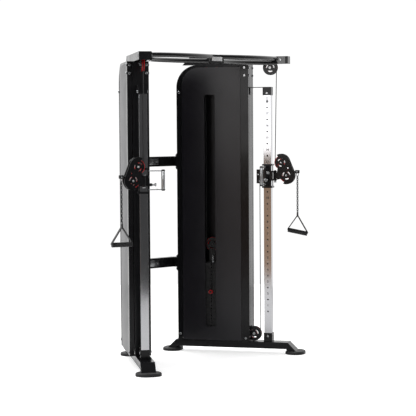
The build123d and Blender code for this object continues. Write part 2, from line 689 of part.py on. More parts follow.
def strap_and_grip(grip_z, tilt):
    """A webbing triangle that carries a round grip, tilted nose down by some degrees."""
    apex = grip_z + APEX_ABOVE
    half, lean = GRIP_LONG / 2, math.radians(tilt)
    along_u, along_z = math.cos(lean), -math.sin(lean)

    def end(side, out, up):
        reach = side * (half + out)
        return (HANG_AT + reach * along_u - up * along_z, grip_z + reach * along_z + up * along_u)

    band = outline(
        (HANG_AT - 7, apex), (HANG_AT + 7, apex), end(1, 4, 8), end(1, 4, -12), end(1, 0.5, -12),
        end(1, 0.5, 6), (HANG_AT, apex - 10), end(-1, 0.5, 6), end(-1, 0.5, -12), end(-1, 4, -12),
        end(-1, 4, 8),
    )
    line = Pos(HANG_AT, 0, grip_z) * Rot(0, 90 + tilt, 0)
    webbing = side_plate(band, -STRAP_WIDE / 2, STRAP_WIDE / 2)
    return webbing + line * Cylinder(GRIP_R, GRIP_LONG) + line * Cylinder(9, GRIP_LONG + 7)


# Bars between the two towers


def crossbar(middle):
    """A straight bar with an angled stub and a flange at each tower."""
    low, high = middle - CROSSBAR_TALL / 2, middle + CROSSBAR_TALL / 2
    body_w = (BODY_IN + BODY_OUT) / 2
    half = CROSSBAR_DEEP / 2
    rear = BODY_REAR - FLANGE_THICK
    stub = slab(BODY_REAR - STUB_LONG, rear, body_w - half, body_w + half, low, high)
    tall = FLANGE_TALL / 2
    flange = slab(rear, BODY_REAR, BODY_IN, FLANGE_OUT, middle - tall, middle + tall)
    flange = drilled(flange, FLANGE_BOLTS)
    end = to_right(Pos(BODY_REAR - STUB_LONG, body_w, middle) * Box(1, 1, 1)).center()
    reach = end.X + half * math.tan(math.radians(TOWER_ANGLE) / 2)
    bar = Pos(0, end.Y, middle) * Box(2 * reach, CROSSBAR_DEEP, CROSSBAR_TALL)
    return bar + to_right(stub + flange) + to_left(stub + flange)


def pull_up_bar():
    """Two tubes that bow apart on each side of a middle plate, with bolted end plates."""
    half_beam = BEAM_WIDE / 2
    end_plate = slab(BAR_U - 20, BAR_U + 68, -half_beam - 8, -half_beam, BEAM_LOW + 1, HEIGHT - 1)
    end_plate = drilled(end_plate, BAR_BOLTS)
    anchor = to_right(Pos(BAR_U, -half_beam - 4, 2123) * Box(1, 1, 1)).center()
    whole = to_right(end_plate) + to_left(end_plate)
    for z, bow in ((2132.0, -BAR_BOW), (2101.0, BAR_BOW)):
        for side in (-1, 1):
            arc = ThreePointArc(
                (side * 40, anchor.Y, z), (side * (anchor.X + 40) / 2, anchor.Y + bow, z), (side * anchor.X, anchor.Y, z)
            )
            ring = Plane(origin=arc @ 0, z_dir=arc % 0) * Circle(BAR_R)
            whole = whole + sweep(ring, arc)
    beam = slab(BODY_REAR, BEAM_FRONT, -half_beam, half_beam, BEAM_LOW - 1, HEIGHT + 1)
    plate = Pos(0, anchor.Y, 2116) * Box(134, 26, 60)
    return whole + fillet(plate.edges().filter_by(Axis.Y), 6) - to_right(beam) - to_left(beam)


# Nodes: the pieces of the right tower, and the same mirrored for the left one

FRAME_BOLTS = UPRIGHT_BOLTS + REAR_BOLTS + FLANGE_BOLTS + CLAMP_BOLTS + BAR_BOLTS

both("base_beams", base_beam())
both("foot_pads", foot(FRONT_FOOT), foot(REAR_FOOT), bumper(-1), bumper(1))
both("rear_uprights", rear_upright())
tower("front_upright", front_upright())
tower("inner_shroud", shroud(-1))
tower("outer_shroud", shroud(1))
tower("top_beam", top_beam())
both("columns", column())
both("column_clamps", *[clamp(low, high) for low, high in CLAMP_HEIGHTS], head_plate())
both("guide_rods", guide_rod(-1), guide_rod(1))
both(
    "frame_brackets",
    *guards(TOP_PULLEY, BEAM_LOW, True),
    *guards(BASE_PULLEY, 0, False),
    *idler_plates(),
    *base_ears(),
    rod_retainer(),
)
both("frame_bolts", *[bolt(place) for place in FRAME_BOLTS])
both("frame_bolts", *[axle(centre) for centre in FIXED_PULLEYS])
both("frame_cables", frame_cable_low(), frame_cable_high())
both("resting_plates", *[stack_plate(STACK_LOW + i * PLATE_TALL) for i in range(PINNED)])
parts["crossbars"] = [crossbar(middle) for middle in CROSSBAR_HEIGHTS]
parts["pull_up_bar"] = [pull_up_bar()]

tower("weight_stack", *lifted_stack())
tower("stack_cable", stack_cable())
tower("lanyard", lanyard())
tower("selector_pin", selector_pin())
tower("stack_pulley", pulley(STACK_PULLEY))
tower("rear_idler", pulley(REAR_IDLER))
tower("mid_idler", pulley(MID_IDLER))
tower("front_idler", pulley(FRONT_IDLER))
tower("top_pulley", pulley(TOP_PULLEY))
tower("base_pulley", pulley(BASE_PULLEY))
tower("carriage", carriage(), swivel_lugs(), grab_handle())
tower("pop_pin", pop_pin())
tower("front_cable", front_cable())
tower("rear_cable", rear_cable())
for side, turn, grip in (("r", 0.0, RIGHT_GRIP), ("l", LEFT_ARM_TURN, LEFT_GRIP)):
    swung = Pos(AXIS_U, 0, 0) * Rot(0, 0, turn)
    place = to_right if side == "r" else to_left
    parts["swivel_arm_" + side] = [place(swung * arm()), place(swung * arm_cable())]
    parts["upper_pulley_" + side] = [place(swung * pulley(ARM_UPPER))]
    parts["lower_pulley_" + side] = [place(swung * pulley(ARM_LOWER))]
    parts["cable_end_" + side] = [place(swung * cable_end())]
    parts["handle_chain_" + side] = [place(swung * carabiner()), place(swung * chain(grip[0]))]
    parts["strap_handle_" + side] = [place(swung * strap_and_grip(*grip))]


def solids_of(shapes):
    return [solid for shape in shapes for solid in shape.solids()]


def box_of(names):
    return Compound(children=[s for name in names for s in solids_of(parts[name])]).bounding_box()


# The origin is under the middle of the whole machine's box, on the floor
whole_box = box_of(parts)
ORIGIN = (whole_box.center().X, whole_box.center().Y, whole_box.min.Z)

os.makedirs("parts", exist_ok=True)
for name, shapes in parts.items():
    placed = [Pos(-ORIGIN[0], -ORIGIN[1], -ORIGIN[2]) * solid for solid in solids_of(shapes)]
    export_step(Compound(children=placed), f"parts/{name}.step")
print("nodes", len(parts), "origin", [round(x, 3) for x in ORIGIN], "size", whole_box.size)
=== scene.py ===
import json
import math
import bmesh
import bpy
from mathutils import Matrix, Vector
from mathutils.geometry import tessellate_polygon


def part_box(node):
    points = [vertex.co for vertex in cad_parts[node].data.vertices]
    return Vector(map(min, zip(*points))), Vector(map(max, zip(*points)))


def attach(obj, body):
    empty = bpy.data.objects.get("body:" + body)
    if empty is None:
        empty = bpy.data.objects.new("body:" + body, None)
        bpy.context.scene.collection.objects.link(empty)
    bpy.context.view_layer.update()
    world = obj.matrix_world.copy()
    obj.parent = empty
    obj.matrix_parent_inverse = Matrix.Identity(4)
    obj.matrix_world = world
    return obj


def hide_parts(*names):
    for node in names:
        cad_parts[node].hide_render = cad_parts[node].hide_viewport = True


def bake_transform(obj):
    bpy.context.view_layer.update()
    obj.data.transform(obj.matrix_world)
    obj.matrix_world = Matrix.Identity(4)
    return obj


# A dual-stack functional trainer. Local coordinates are millimetres in a tower's own frame: u forward along the
# tower, w outward, z up, measured from the centre of the slide column. An arm's own frame is measured from the
# axis that it swivels on, with u along the arm.

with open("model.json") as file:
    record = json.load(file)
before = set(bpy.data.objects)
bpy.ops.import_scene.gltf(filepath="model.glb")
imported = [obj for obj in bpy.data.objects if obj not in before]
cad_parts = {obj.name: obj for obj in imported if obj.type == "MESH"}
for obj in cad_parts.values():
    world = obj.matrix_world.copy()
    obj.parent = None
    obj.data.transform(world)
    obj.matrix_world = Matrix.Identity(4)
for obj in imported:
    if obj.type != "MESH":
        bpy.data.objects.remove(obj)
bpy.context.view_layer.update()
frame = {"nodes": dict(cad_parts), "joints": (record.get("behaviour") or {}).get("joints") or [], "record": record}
NODES = frame["nodes"]
JOINTS = {joint["name"]: joint for joint in frame["joints"]}
MM = 0.001
UP = Vector((0, 0, 1))
HANDS = {"r": 1, "l": -1}  # the tower on the side of +x is r, and l is its mirror image
TOP_PULLEY_U = 20.0  # from the column's centre to the top pulley's axle
PULLEY_REACH = 45.0  # from a pulley's centre to the cable's centre line
CABLE_R = 2.9


# Camera, solved from the edges of the towers: angles in radians, focal length and sensor in millimetres

CAMERA_AT = Vector((-7.0514, -8.0255, 1.6699))
YAW, PITCH, ROLL = 0.7369, 0.0558, 0.0068
FOCAL, SENSOR = 130.63, 36
FARTHEST = 60  # metres

across_view = Vector((math.cos(YAW), -math.sin(YAW), 0))
level_view = Vector((math.sin(YAW), math.cos(YAW), 0))
view_way = level_view * math.cos(PITCH) - UP * math.sin(PITCH)
view_up = UP * math.cos(PITCH) + level_view * math.sin(PITCH)
camera_right = across_view * math.cos(ROLL) - view_up * math.sin(ROLL)
camera_up = across_view * math.sin(ROLL) + view_up * math.cos(ROLL)


def basis(x, y, z, origin):
    """A matrix from its three columns and its place."""
    turn = Matrix((x, y, z)).transposed()
    return Matrix.Translation(origin) @ turn.to_4x4()


lens = bpy.data.cameras.new("camera")
lens.lens = FOCAL
lens.sensor_width = SENSOR
lens.clip_end = FARTHEST
camera = bpy.data.objects.new("camera", lens)
camera.matrix_world = basis(camera_right, camera_up, -view_way, CAMERA_AT)
bpy.context.scene.collection.objects.link(camera)
bpy.context.scene.camera = camera


# Materials

NOISE_LOW, NOISE_HIGH = 0.3, 0.7  # the part of the noise's range that is spread over the colours and the gloss
BROAD_NOISE = 9.0
GLOSSIEST = 0.02
RELIEF_DEEP, WEAVE_DEEP = 0.0004, 0.0006


def surface(name, colour, rough, metal=0.0, spread=0.05, grain=700.0, bump=0.05, tint=0.12, edge=0.0008, grow=1.0,
            **more):
    """A Principled finish with uneven colour and gloss, a fine grain and softened edges.

    tint and spread say how uneven the colour and the gloss are, and grow below 1 draws that out along z.
    Other inputs of the shader are named with _ for each space.
    """
    material = bpy.data.materials.new(name)
    material.use_nodes = True
    tree = material.node_tree
    shader = tree.nodes["Principled BSDF"]
    shader.inputs["Metallic"].default_value = metal
    for socket, value in more.items():
        shader.inputs[socket.replace("_", " ")].default_value = value
    stretch = tree.nodes.new("ShaderNodeMapping")
    stretch.inputs["Scale"].default_value = (1, 1, grow)
    tree.links.new(tree.nodes.new("ShaderNodeTexCoord").outputs["Object"], stretch.inputs["Vector"])
    where = stretch.outputs["Vector"]

    def noise(scale, detail):
        node = tree.nodes.new("ShaderNodeTexNoise")
        node.inputs["Scale"].default_value = scale
        node.inputs["Detail"].default_value = detail
        tree.links.new(where, node.inputs["Vector"])
        return node.outputs["Fac"]

    broad, fine = noise(BROAD_NOISE, 4.0), noise(grain, 2.0)
    ramp = tree.nodes.new("ShaderNodeValToRGB")
    for stop, level in zip(ramp.color_ramp.elements, (1 - tint, 1 + tint)):
        stop.color = (*[min(1.0, channel * level) for channel in colour], 1)
    ramp.color_ramp.elements[0].position = NOISE_LOW
    ramp.color_ramp.elements[1].position = NOISE_HIGH
    tree.links.new(broad, ramp.inputs["Fac"])
    tree.links.new(ramp.outputs["Color"], shader.inputs["Base Color"])
    gloss = tree.nodes.new("ShaderNodeMapRange")
    gloss.inputs["From Min"].default_value = NOISE_LOW
    gloss.inputs["From Max"].default_value = NOISE_HIGH
    gloss.inputs["To Min"].default_value = max(GLOSSIEST, rough - spread)
    gloss.inputs["To Max"].default_value = rough + spread
    tree.links.new(broad, gloss.inputs["Value"])
    tree.links.new(gloss.outputs["Result"], shader.inputs["Roughness"])
    relief = tree.nodes.new("ShaderNodeBump")
    relief.inputs["Strength"].default_value = bump
    relief.inputs["Distance"].default_value = RELIEF_DEEP
    tree.links.new(fine, relief.inputs["Height"])
    if edge:
        soft = tree.nodes.new("ShaderNodeBevel")
        soft.samples = 4
        soft.inputs["Radius"].default_value = edge
        tree.links.new(soft.outputs["Normal"], relief.inputs["Normal"])
    tree.links.new(relief.outputs["Normal"], shader.inputs["Normal"])
    return material


BLACK_PAINT = (0.0085, 0.0085, 0.0095)
MATERIALS = {  # by the record's material slots
    "black_coat": surface("black_coat", BLACK_PAINT, 0.2, bump=0.1, grain=900, edge=0.0015, tint=0.06,
                          Specular_IOR_Level=0.2, Coat_Weight=0.12, Coat_Roughness=0.06),
    "shroud": surface("shroud", (0.0135, 0.0125, 0.0165), 0.3, spread=0.02, tint=0.04, bump=0.1, grain=1100,
                      edge=0.001),
    "chrome": surface("chrome", (0.62, 0.62, 0.64), 0.1, metal=1.0, spread=0.04, bump=0.01, tint=0.05, grow=0.16),
    "zinc": surface("zinc", (0.42, 0.43, 0.44), 0.28, metal=1.0, bump=0.08, tint=0.1, edge=0.0006),
    "plate_iron": surface("plate_iron", (0.014, 0.014, 0.015), 0.42, bump=0.5, grain=420, edge=0.0015),
    "red_plastic": surface("red_plastic", (0.47, 0.010, 0.012), 0.3, bump=0.06, edge=0.0006),
    "cable": surface("cable", (0.007, 0.007, 0.008), 0.5, bump=0.05, edge=0),
    "coil": surface("coil", (0.012, 0.012, 0.013), 0.35, bump=0.05, edge=0),
    "foot_rubber": surface("foot_rubber", (0.010, 0.010, 0.011), 0.55, bump=0.35, grain=500, edge=0.002),
    "stopper_rubber": surface("stopper_rubber", (0.010, 0.010, 0.011), 0.45, bump=0.2, grain=600),
}
CHAIN = surface("chain_steel", (0.045, 0.045, 0.05), 0.35, metal=1.0, bump=0.05, edge=0)
GREY_TUBE = surface("grey_tube", (0.5, 0.51, 0.52), 0.3, metal=1.0, spread=0.06, bump=0.1, edge=0)
BADGE = surface("badge_plate", (0.82, 0.82, 0.83), 0.33, metal=0.1, spread=0.05, bump=0.1, edge=0)
BAR_COAT = surface("bar_coat", BLACK_PAINT, 0.14, bump=0.05, grain=900, edge=0.0015, tint=0.06,
                   Coat_Weight=0.9, Coat_Roughness=0.05)
GRIP_RUBBER = surface("grip_rubber", (0.011, 0.011, 0.012), 0.5, bump=0.3, grain=900)
PRINT = surface("number_print", (0.03, 0.03, 0.032), 0.5, bump=0.02, edge=0)


def webbing():
    """Woven strap: a fine diagonal weave over the noise of the yarns."""
    material = surface("webbing", (0.009, 0.009, 0.010), 0.75, bump=0.3, grain=1500, edge=0, Sheen_Weight=0.2)
    tree = material.node_tree
    where = tree.nodes.new("ShaderNodeTexCoord").outputs["Object"]
    weave = tree.nodes.new("ShaderNodeTexWave")
    weave.bands_direction = "DIAGONAL"
    weave.inputs["Scale"].default_value = 160
    weave.inputs["Distortion"].default_value = 0.6
    tree.links.new(where, weave.inputs["Vector"])
    rib = tree.nodes.new("ShaderNodeBump")
    rib.inputs["Strength"].default_value = 0.6
    rib.inputs["Distance"].default_value = WEAVE_DEEP
    tree.links.new(weave.outputs["Fac"], rib.inputs["Height"])
    tree.links.new(rib.outputs["Normal"], tree.nodes["Bump"].inputs["Normal"])
    return material


MATERIALS["webbing"] = webbing()
for entry in frame["record"]["subparts"]:
    cad_object = NODES[entry["node"]]
    cad_object.data.materials.clear()
    glossy = entry["node"] == "pull_up_bar"
    cad_object.data.materials.append(BAR_COAT if glossy else MATERIALS[entry["material_slot"]])


# Shapes in local millimetres

SHARP = 0.7  # radians: an edge that bends more than this is bevelled


class Shape:
    """Faces gathered in local millimetres, each with a material number."""

    def __init__(self):
        self.points, self.faces, self.marks = [], [], []

    def add(self, points, faces, mark=0):
        first = len(self.points)
        self.points += [Vector(point) for point in points]
        self.faces += [[first + i for i in face] for face in faces]
        self.marks += [mark] * len(faces)
        return self

    def rings(self, loops, mark=0, closed=False):
        """A skin over equal loops of points, with flat ends unless it closes on itself."""
        count = len(loops[0])
        faces = []
        for k in range(len(loops) if closed else len(loops) - 1):
            a, b = k * count, ((k + 1) % len(loops)) * count
            for i in range(count):
                j = (i + 1) % count
                faces.append((a + i, a + j, b + j, b + i))
        if not closed:
            faces.append(tuple(range(count)))
            faces.append(tuple(range((len(loops) - 1) * count, len(loops) * count)))
        return self.add([point for loop in loops for point in loop], faces, mark)

    def turned(self, start, way, profile, mark=0, sides=40):
        """A solid of revolution: profile holds (distance along, radius) pairs."""
        way = Vector(way).normalized()
        side = way.orthogonal().normalized()
        third = way.cross(side)
        loops = []
        for along, radius in profile:
            centre = Vector(start) + way * along
            turn = [2 * math.pi * i / sides for i in range(sides)]
            loops.append([centre + (side * math.cos(t) + third * math.sin(t)) * radius for t in turn])
        return self.rings(loops, mark)

    def tube(self, path, radius, mark=0, sides=12, closed=False):
        """A round bar along a path of points."""
        path = [Vector(point) for point in path]
        count = len(path)
        loops, side = [], None
        for k, point in enumerate(path):
            ahead = path[(k + 1) % count] if closed or k + 1 < count else point
            behind = path[k - 1] if closed or k else point
            way = (ahead - behind).normalized()
            side = way.orthogonal() if side is None else side - way * side.dot(way)
            side.normalize()
            third = way.cross(side)
            turn = [2 * math.pi * i / sides for i in range(sides)]
            loops.append([point + (side * math.cos(t) + third * math.sin(t)) * radius for t in turn])
        return self.rings(loops, mark, closed)

    def plate(self, outline, low, high, holes=(), mark=0):
        """A flat plate in the u-z plane between two w values."""
        loops = [list(outline)] + [list(hole) for hole in holes]
        flat = [point for loop in loops for point in loop]
        points = [(u, low, z) for u, z in flat] + [(u, high, z) for u, z in flat]
        triangles = tessellate_polygon([[Vector((u, z, 0)) for u, z in loop] for loop in loops])
        size = len(flat)
        faces = [tuple(face) for face in triangles] + [tuple(size + i for i in face) for face in triangles]
        first = 0
        for loop in loops:
            for i in range(len(loop)):
                a, b = first + i, first + (i + 1) % len(loop)
                faces.append((a, b, size + b, size + a))
            first += len(loop)
        return self.add(points, faces, mark)

    def piece(self, name, matrix, materials, body, slot, bevel=0.0, smooth=35.0):
        """Builds the mesh in the whole object's frame. It rides on a body, or with body None on none."""
        mesh = bpy.data.meshes.new(name)
        mesh.from_pydata([matrix @ point for point in self.points], [], self.faces)
        for material in materials:
            mesh.materials.append(material)
        mesh.polygons.foreach_set("material_index", self.marks)
        work = bmesh.new()
        work.from_mesh(mesh)
        bmesh.ops.recalc_face_normals(work, faces=work.faces)
        if bevel:
            sharp = [edge for edge in work.edges if len(edge.link_faces) == 2 and edge.calc_face_angle() > SHARP]
            bmesh.ops.bevel(work, geom=sharp, offset=bevel * MM, segments=2, affect="EDGES", profile=0.5)
        work.to_mesh(mesh)
        work.free()
        mesh.shade_smooth()
        mesh.set_sharp_from_angle(angle=math.radians(smooth))
        thing = bpy.data.objects.new(name, mesh)
        bpy.context.scene.collection.objects.link(thing)
        if body:
            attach(thing, body)
        return thing


def arc(centre, radius, start, stop, steps=24):
    """Points along an arc in the (u, z) plane; angles in degrees."""
    points = []
    for k in range(steps + 1):
        angle = math.radians(start + (stop - start) * k / steps)
        points.append((centre[0] + radius * math.cos(angle), centre[1] + radius * math.sin(angle)))
    return points


def windows(centre, turn, ring=26.0, wide=8.5, sweep=56.0):
    """Three kidney windows round an axle."""
    loops = []
    for k in range(3):
        middle = turn + 120 * k
        low, high = middle - sweep / 2, middle + sweep / 2
        ends = [arc(centre, ring, angle, angle, 1)[0] for angle in (high, low)]
        loop = arc(centre, ring + wide / 2, low, high, 10)
        loop += arc(ends[0], wide / 2, high, high + 180, 6)[1:-1]
        loop += arc(centre, ring - wide / 2, high, low, 10)
        loop += arc(ends[1], wide / 2, low + 180, low + 360, 6)[1:-1]
        loops.append(loop)
    return loops


def rod(radius, long, slope=0.0, drop=0.0, bore=0.0):
    """Profile of a round rod, whose ends may slope inward by a drop over the length of the slope."""
    if not slope:
        return [(0, bore), (0, radius), (long, radius), (long, bore)]
    low = radius - drop
    return [(0, bore), (0, low), (slope, radius), (long - slope, radius), (long, low), (long, bore)]


def dome(radius, tall):
    """Profile of a bolt head: a flat foot, a straight side and a rounded top."""
    return [(0, 0), (0, radius), (tall * 0.55, radius), (tall * 0.85, radius * 0.86), (tall, radius * 0.6), (tall, 0)]


# Where each tower and each arm stands, from the joints


def tower_frame(side):
    """A matrix from a tower's own millimetres to metres."""
    joint = JOINTS["top_pulley_spin_" + side]
    out = Vector(joint["axis"]) * HANDS[side]
    ahead = out.cross(UP) * HANDS[side]
    origin = Vector(joint["pos_m"]) - ahead * TOP_PULLEY_U * MM
    origin.z = 0
    return basis(ahead, out, UP, origin) @ Matrix.Diagonal((MM, MM, MM, 1))


def arm_frame(side):
    """The same for an arm, measured from its swivel's axis."""
    origin = Vector(JOINTS["arm_swivel_" + side]["pos_m"])
    origin.z = 0
    ahead = Vector(JOINTS["handle_pull_" + side]["axis"])
    out = Vector(JOINTS["upper_pulley_spin_" + side]["axis"]) * HANDS[side]
    return basis(ahead, out, UP, origin) @ Matrix.Diagonal((MM, MM, MM, 1))


# Cables, in (u, z) places

STACK_PULLEY = (-420.0, 790.0)
COLUMN_CABLE_TOP, COLUMN_CABLE_END = (65.0, 2069.5), (52.0, 1386.5)
REAR_CABLE_TOP, REAR_CABLE_FOOT = (-62.0, 1236.0), (-62.0, 139.0)
IDLER_Z = 1990.0
STACK_CLEAR = 30.0  # above the stack's pulley, given as the end of its cable's run


def run(first, last, steps=24):
    """Points of a straight run between two places."""
    ends = [Vector((u, 0, z)) for u, z in (first, last)]
    return [ends[0].lerp(ends[1], k / steps) for k in range(steps + 1)]


def cable_piece(name, path, matrix, node, start, end):
    """A cable along a path, on no body; node is the CAD node that it replaces, or None."""
    thing = Shape().tube(path, CABLE_R, sides=10).piece(name, matrix, [MATERIALS["cable"]], None, "cable", smooth=60)
    if node:
        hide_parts(node)
    start, end = [matrix @ Vector((u, 0, z)) for u, z in (start, end)]
    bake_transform(thing)


def tower_cables(side, tower):
    """The three runs of cable in a tower."""
    cable_piece("front_run_" + side, run(COLUMN_CABLE_TOP, COLUMN_CABLE_END), tower, "front_cable_" + side,
                start=COLUMN_CABLE_TOP, end=COLUMN_CABLE_END)
    cable_piece("rear_run_" + side, run(REAR_CABLE_FOOT, REAR_CABLE_TOP), tower, "rear_cable_" + side,
                start=REAR_CABLE_FOOT, end=REAR_CABLE_TOP)
    u, z = STACK_PULLEY
    path = run((u + PULLEY_REACH, IDLER_Z), (u + PULLEY_REACH, z))
    path += [Vector((a, 0, b)) for a, b in arc(STACK_PULLEY, PULLEY_REACH, 0, -180)[1:-1]]
    path += run((u - PULLEY_REACH, z), (u - PULLEY_REACH, IDLER_Z))
    cable_piece("stack_run_" + side, path, tower, "stack_cable_" + side,
                start=(u, IDLER_Z), end=(u, z + STACK_CLEAR))


# Curly lanyards of the selector pins: each helix is points of one smooth spline

LANYARD_W = -62.0
LANYARD_HIGH, LANYARD_LOW = (-402.0, 658.0), (-418.0, 460.0)  # (u, z) of the coil's two ends
WIRE_R, COIL_R, COIL_TURNS, POINTS_A_TURN = 1.15, 3.3, 34, 8
CLIP_PROFILE = [(0, 0), (0, 3.2), (2, 4.2), (28, 4.2), (31, 3), (31, 0)]
CLIP_BAR_R, CLIP_BAR_RISE, CLIP_BAR_END_W = 3.3, 46, -16
CLIP_EYE_R, CLIP_EYE = 3.7, (30, 53)  # from and to, above the coil's top


def line_length(curve):
    """The length in metres along a curve's own line, without its thickness."""
    plain = curve.copy()
    plain.bevel_depth = 0
    probe = bpy.data.objects.new("probe", plain)
    line = bpy.data.meshes.new_from_object(probe)
    spots = [vertex.co for vertex in line.vertices]
    length = sum((ahead - behind).length for behind, ahead in zip(spots, spots[1:]))
    bpy.data.objects.remove(probe)
    bpy.data.meshes.remove(line)
    bpy.data.curves.remove(plain)
    return length


def lanyard(side, tower):
    """A coil of wire from the stack's yoke to the selector pin, and the clip that holds it."""
    steps = COIL_TURNS * POINTS_A_TURN
    points = []
    for k in range(steps + 1):
        angle = 2 * math.pi * k / POINTS_A_TURN
        u, z = Vector(LANYARD_HIGH).lerp(Vector(LANYARD_LOW), k / steps)
        points.append(tower @ Vector((u + COIL_R * math.cos(angle), LANYARD_W + COIL_R * math.sin(angle), z)))
    curve = bpy.data.curves.new("lanyard_coil_" + side, "CURVE")
    curve.dimensions = "3D"
    spline = curve.splines.new("NURBS")
    spline.points.add(len(points) - 1)
    for knot, point in zip(spline.points, points):
        knot.co = (*point, 1)
    spline.order_u = 3
    spline.use_endpoint_u = True
    spline.resolution_u = 3
    curve.bevel_depth = WIRE_R * MM
    curve.bevel_resolution = 2
    curve.materials.append(MATERIALS["coil"])
    thing = bpy.data.objects.new("lanyard_coil_" + side, curve)
    bpy.context.scene.collection.objects.link(thing)
    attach(thing, "stack_" + side)
    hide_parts("lanyard_" + side)
    line_length(curve)

    u, z = LANYARD_HIGH
    clip = Shape().turned((u, LANYARD_W, z + 1), UP, CLIP_PROFILE, 0, 24)
    clip.tube([(u, LANYARD_W - 2, z + CLIP_BAR_RISE), (u, CLIP_BAR_END_W, z + CLIP_BAR_RISE)], CLIP_BAR_R)
    clip.tube([(u, LANYARD_W, z + rise) for rise in CLIP_EYE], CLIP_EYE_R)
    clip.piece("lanyard_clip_" + side, tower, [MATERIALS["zinc"]], "stack_" + side, "zinc", bevel=0.2)


# Selector pin: a red knob with a dark centre

KNOB_AT = (-420.0, -44.0, 442.5)
KNOB_RIM = [(8, 0), (8, 12), (10, 14.4), (13, 15), (24, 15), (27, 13.8), (28, 11.5), (27.2, 8), (25.5, 7.4),
            (25.5, 0)]
KNOB_CENTRE = [(25, 0), (25, 7.2), (26.8, 6.6), (27, 5), (27, 0)]
PIN_STEM = [(-8, 0), (-8, 4.7), (54, 4.7), (55.5, 3.4), (55.5, 0)]


def selector_pin(side, tower):
    """Knob and stem; the stem points into the stack."""
    knob = Shape().turned(KNOB_AT, (0, -1, 0), KNOB_RIM, 0, 56)
    knob.turned(KNOB_AT, (0, -1, 0), KNOB_CENTRE, 1, 40)
    knob.turned(KNOB_AT, (0, 1, 0), PIN_STEM, 2, 28)
    thing = knob.piece("selector_knob_" + side, tower,
                       [MATERIALS["red_plastic"], MATERIALS["foot_rubber"], MATERIALS["zinc"]],
                       "selector_pin_" + side, "red_plastic")
    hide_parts("selector_pin_" + side)


# Swivelling arm

UPPER, LOWER = (46.0, 1386.0), (84.0, 1293.0)  # (u, z) of the two pulleys
ARM_R, REAR_R, PLATE_IN, PLATE_THICK, LIP_WIDE, LIP_TALL = 64.0, 43.5, 11.0, 3.0, 4.0, 3.4
FOOT_TURN, HEAD_TURN = -110, 119  # degrees: where the broad front curve starts and ends
YOKE_BACK = [(16, 1316), (16, 1262)]
YOKE_BLOCK = [(4, 1270), (27, 1270), (27, 1312), (4, 1312)]
SLEEVE_Z = 1267.5
WINDOW_TURNS = 0.0, 40.0
EYE, EYE_R = (94, 1346), 7
SPACERS, SPACER_R = ((88, 1424), (70, 1238), (118, 1352)), 5
AXLE_R, AXLE_LONG = 6, 36
CABLE_LEAVES = 72.0  # degrees round the lower pulley
STOPPER_AT, STOPPER_BODY, STOPPER_END, STOPPER_Z, HANG_AT = 148.0, 156.0, 178.0, 1320.0, 164.0


def arm_front(radius):
    """The broad curve round the front of both pulleys, from the foot to the head."""
    tilt = math.degrees(math.atan2(UPPER[1] - LOWER[1], UPPER[0] - LOWER[0])) - 90
    return arc(LOWER, radius, FOOT_TURN, tilt, 32) + arc(UPPER, radius, tilt, HEAD_TURN, 26)


def arm(side, matrix):
    """Two plates with a raised lip, their spacers and yoke, the pulleys' bolts and the cable to the stopper."""
    body = "arm_" + side
    outline = arm_front(ARM_R) + arc(UPPER, REAR_R, HEAD_TURN, 235) + YOKE_BACK
    outline += arc(LOWER, REAR_R, 215, FOOT_TURN + 360, 8)
    lip = arm_front(ARM_R) + arm_front(ARM_R - LIP_WIDE)[::-1]
    holes = windows(UPPER, WINDOW_TURNS[0]) + windows(LOWER, WINDOW_TURNS[1]) + [arc(EYE, EYE_R, 0, 340, 17)]
    face = PLATE_IN + PLATE_THICK
    shape = Shape()
    for hand in (-1, 1):
        shape.plate(outline, hand * PLATE_IN, hand * face, holes)
        shape.plate(lip, hand * (face - 0.2), hand * (face + LIP_TALL))
    for u, z in SPACERS:
        shape.turned((u, -PLATE_IN - 0.5, z), (0, 1, 0), rod(SPACER_R, 2 * PLATE_IN + 1), 0, 24)
    shape.plate(YOKE_BLOCK, -PLATE_IN, PLATE_IN)
    shape.turned((0, 0, SLEEVE_Z), UP, rod(12.5, 46, 1.2, 1, bore=6), 0, 40)
    thing = shape.piece("arm_plates_" + side, matrix, [MATERIALS["black_coat"]], body, "black_coat", bevel=0.5,
                        smooth=22)
    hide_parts("swivel_arm_" + side)

    bolts = Shape()
    for u, z in (UPPER, LOWER):
        bolts.turned((u, -AXLE_LONG / 2, z), (0, 1, 0), rod(AXLE_R, AXLE_LONG), 0, 24)
        for hand, sides in ((-1, 40), (1, 6)):
            bolts.turned((u, hand * face, z), (0, hand, 0), dome(8.2, 6), 0, sides)
    bolts.piece("arm_bolts_" + side, matrix, [MATERIALS["zinc"]], body, "zinc", bevel=0.3)

    reach = math.hypot(LOWER[0] - UPPER[0], LOWER[1] - UPPER[1])
    heading = math.atan2(LOWER[1] - UPPER[1], LOWER[0] - UPPER[0])
    leave = math.degrees(heading - math.acos(2 * PULLEY_REACH / reach))
    path = arc(UPPER, PULLEY_REACH, -180, leave, 30) + arc(LOWER, PULLEY_REACH, leave + 180, CABLE_LEAVES, 24)
    first, last = path[-1], (STOPPER_AT + 1, STOPPER_Z + 0.5)
    path = [Vector((u, 0, z)) for u, z in path] + run(first, last, 40)[1:]
    cable_piece("arm_run_" + side, path, matrix, None, start=first, end=last)


# Stopper: a rubber disc and two cheeks with a pin across them, from which the handle hangs

STOPPER_R, CHEEK_HALF, CHEEK_ROUND = 13, 12, 4
CHEEK_IN, CHEEK_OUT = 3.6, 11.5


